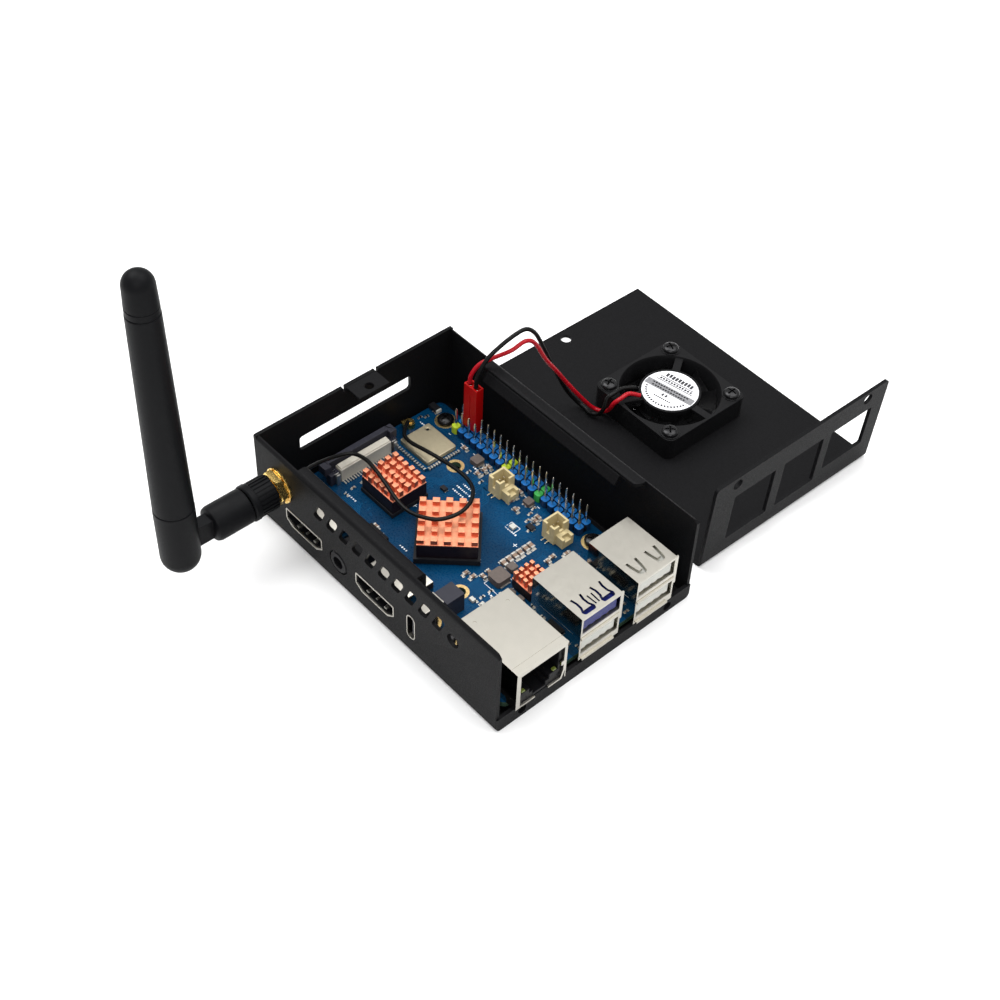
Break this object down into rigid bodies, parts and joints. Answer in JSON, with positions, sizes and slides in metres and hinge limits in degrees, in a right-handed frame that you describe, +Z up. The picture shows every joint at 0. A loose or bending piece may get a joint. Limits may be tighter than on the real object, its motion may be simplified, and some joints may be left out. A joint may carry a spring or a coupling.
{
  "type": "single board computer",
  "caption": "Single board computer in an open black sheet-metal tray with a jointed aerial, copper heat sinks, and its loose lid beside it carrying a small cooling fan.",
  "frame": {"origin": "centre of the tray's underside, on the surface that the tray and the lid lie on", "axes": "+X along the board from the cable slot to the network and USB sockets, +Y from the video sockets' wall to the lid, +Z up"},
  "size_m": [0.0956, 0.1759, 0.1027],
  "materials": {
    "case_paint": "fine textured black powder coat",
    "solder_mask": "semi-gloss blue solder mask",
    "header_plastic": "satin moulded plastic",
    "red_plastic": "satin moulded plastic",
    "tin_plate": "satin tin plate",
    "blue_plastic": "satin moulded plastic",
    "white_plastic": "satin moulded plastic",
    "black_plastic": "matte moulded plastic",
    "chip_resin": "matte moulded resin",
    "copper": "bright machined copper",
    "shield_can": "satin nickel silver",
    "cream_plastic": "satin moulded plastic",
    "grey_plastic": "matte moulded plastic",
    "brass": "bright gold plated brass",
    "black_jacket": "smooth flexible jacket",
    "red_insulation": "smooth flexible insulation",
    "antenna_plastic": "matte moulded plastic",
    "black_steel": "black oxide",
    "fan_plastic": "matte moulded plastic",
    "label_paper": "satin printed label"
  },
  "bodies": {
    "base": {"audio_jack": "black_plastic", "board_screw_1": "black_steel", "board_screw_2": "black_steel", "board_screw_3": "black_steel", "board_screw_4": "black_steel", "coax_lead": "black_jacket", "coax_plug": "brass", "fan_lead_black": "black_jacket", "fan_lead_red": "red_insulation", "fan_plug": "red_plastic", "fpc_socket": "grey_plastic", "gpio_header": "header_plastic", "hdmi_port_1": "tin_plate", "hdmi_port_2": "tin_plate", "heatsink_large": "copper", "heatsink_medium": "copper", "heatsink_small": "copper", "lead_socket_1": "cream_plastic", "lead_socket_2": "cream_plastic", "pcb": "solder_mask", "power_chip": "chip_resin", "ram_chip": "chip_resin", "rj45_jack": "tin_plate", "sma_jack": "brass", "sma_nut": "brass", "sma_washer": "brass", "soc_chip": "chip_resin", "standoff_1": "brass", "standoff_2": "brass", "standoff_3": "brass", "standoff_4": "brass", "tray": "case_paint", "usb2_lower_tongue": "white_plastic", "usb2_stack": "tin_plate", "usb2_upper_tongue": "white_plastic", "usb3_lower_tongue": "white_plastic", "usb3_stack": "tin_plate", "usb3_upper_tongue": "blue_plastic", "usb_c_port": "black_plastic", "usb_hub_chip": "chip_resin", "wifi_module": "shield_can"},
    "antenna_collar": {"antenna_collar": "antenna_plastic"},
    "antenna_arm": {"antenna_elbow": "antenna_plastic"},
    "antenna_blade": {"antenna_hinge_end": "antenna_plastic", "antenna_pivot_pin": "black_steel", "antenna_sleeve": "antenna_plastic", "antenna_tip": "antenna_plastic"},
    "lid": {"lid": "case_paint", "fan_frame": "fan_plastic", "fan_label": "label_paper", "fan_stator": "copper", "fan_bearing": "brass", "fan_screw_1": "black_steel", "fan_screw_2": "black_steel", "fan_screw_3": "black_steel", "fan_screw_4": "black_steel"},
    "fan_rotor": {"fan_rotor": "fan_plastic"},
    "fpc_latch": {"fpc_latch": "black_plastic"}
  },
  "joints": [
    {"name": "collar_spin", "type": "hinge", "parent": "base", "child": "antenna_collar", "pos_m": [-0.0361, -0.0433, 0.0183], "axis": [0, -1, 0], "continuous": true},
    {"name": "arm_swivel", "type": "hinge", "parent": "base", "child": "antenna_arm", "pos_m": [-0.0361, -0.0631, 0.0183], "axis": [0, -1, 0], "range_deg": [-90, 90]},
    {"name": "blade_fold", "type": "hinge", "parent": "antenna_arm", "child": "antenna_blade", "pos_m": [-0.0361, -0.0631, 0.0183], "axis": [1, 0, 0], "range_deg": [0, 90]},
    {"name": "lid_lift", "type": "slide", "parent": "base", "child": "lid", "axis": [0, 0, 1], "range_m": [0, 0.02], "deforming": ["fan_lead_red", "fan_lead_black"]},
    {"name": "fan_spin", "type": "hinge", "parent": "lid", "child": "fan_rotor", "pos_m": [-0.00466, 0.07714, 0.0043], "axis": [0, 0, 1], "continuous": true},
    {"name": "latch_lift", "type": "slide", "parent": "base", "child": "fpc_latch", "axis": [0, 0, 1], "range_m": [0, 0.0012]}
  ]
}
